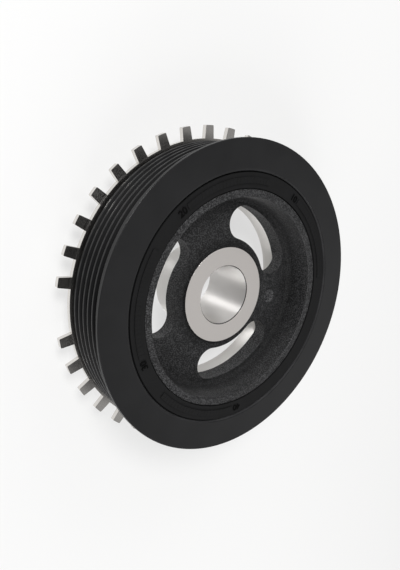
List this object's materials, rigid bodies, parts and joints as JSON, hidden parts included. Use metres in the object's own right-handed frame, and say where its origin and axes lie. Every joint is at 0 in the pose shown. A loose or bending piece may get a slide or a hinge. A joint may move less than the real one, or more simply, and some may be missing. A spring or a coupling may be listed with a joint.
{
  "type": "crankshaft pulley",
  "caption": "Crankshaft pulley with a slotted iron hub, a rubber-bonded poly-V belt ring and a toothed sensor wheel with one tooth missing.",
  "frame": {"origin": "on the pulley's axis, at the rear end of the hub's sleeve, where it seats on the crankshaft", "axes": "+Z along the pulley's axis, out of the front face; +X midway between two of the web's slots"},
  "size_m": [0.1464, 0.1464, 0.038],
  "materials": {
    "cast_hub": "black-coated casting, machined on the boss face, bore and sleeve",
    "damper_rubber": "matte moulded rubber",
    "belt_ring": "satin black coat",
    "tooth_steel": "bright turned steel"
  },
  "bodies": {
    "root": {"hub": "cast_hub", "rubber_ring": "damper_rubber", "pulley_ring": "belt_ring", "trigger_wheel": "tooth_steel"}
  },
  "joints": []
}
